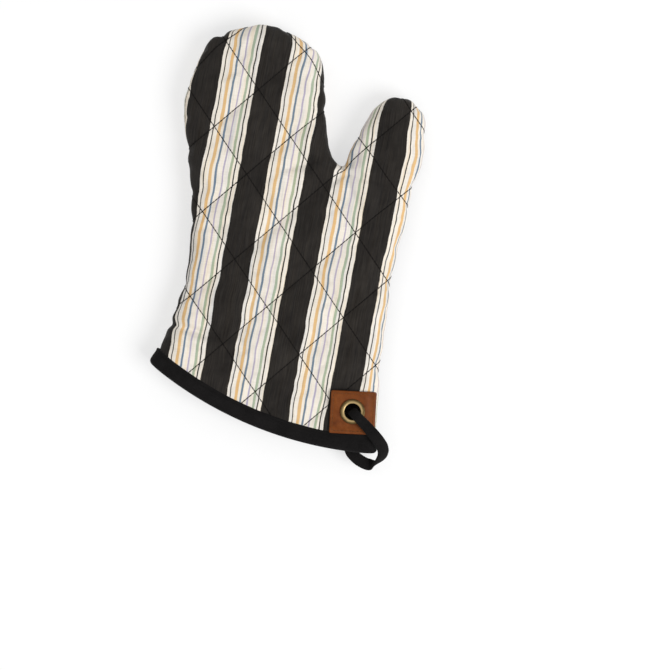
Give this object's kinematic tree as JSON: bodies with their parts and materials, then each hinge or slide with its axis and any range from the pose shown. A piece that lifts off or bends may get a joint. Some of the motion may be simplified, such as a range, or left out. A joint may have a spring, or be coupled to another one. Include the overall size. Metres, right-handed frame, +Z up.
{
  "type": "oven mitt",
  "caption": "Quilted cotton oven mitt with thumb, padded walls, lined hand space, bound slanted cuff, leather corner tab, brass eyelet and a fabric hanging loop.",
  "frame": {"origin": "centre of the flat underside, half way along and across the padded body", "axes": "+Z up through the front panel, +Y to the fingertips, +X to the thumb"},
  "size_m": [0.197, 0.3424, 0.0392],
  "materials": {
    "print_cotton": "matte woven cotton, black and cream stripe",
    "batting": "lofty white fibre padding",
    "lining_cotton": "plain matte black cotton",
    "binding_cotton": "matte black cotton tape",
    "loop_cotton": "matte black cotton tube",
    "thread_dark": "spun sewing thread",
    "thread_brown": "waxed sewing thread",
    "tab_leather": "waxed leather with raw edges",
    "antique_brass": "darkened brass"
  },
  "bodies": {
    "mitt": {"outer_front": "print_cotton", "outer_back": "print_cotton", "batting_front": "batting", "batting_back": "batting", "lining_front": "lining_cotton", "lining_back": "lining_cotton", "outer_seam_thread": "thread_dark", "lining_seam_thread": "thread_dark", "cuff_binding": "binding_cotton", "binding_stitching": "thread_dark", "quilting_thread_front": "thread_dark", "quilting_thread_back": "thread_dark", "leather_tab": "tab_leather", "tab_stitching": "thread_brown", "eyelet": "antique_brass", "eyelet_washer": "antique_brass"},
    "loop": {"hang_loop": "loop_cotton", "loop_tack": "thread_dark"}
  },
  "joints": [
    {"name": "loop_swing", "type": "hinge", "parent": "mitt", "child": "loop", "pos_m": [0.07106, -0.134, 0.028], "axis": [0, 0, 1], "range_deg": [-45, 8]}
  ]
}
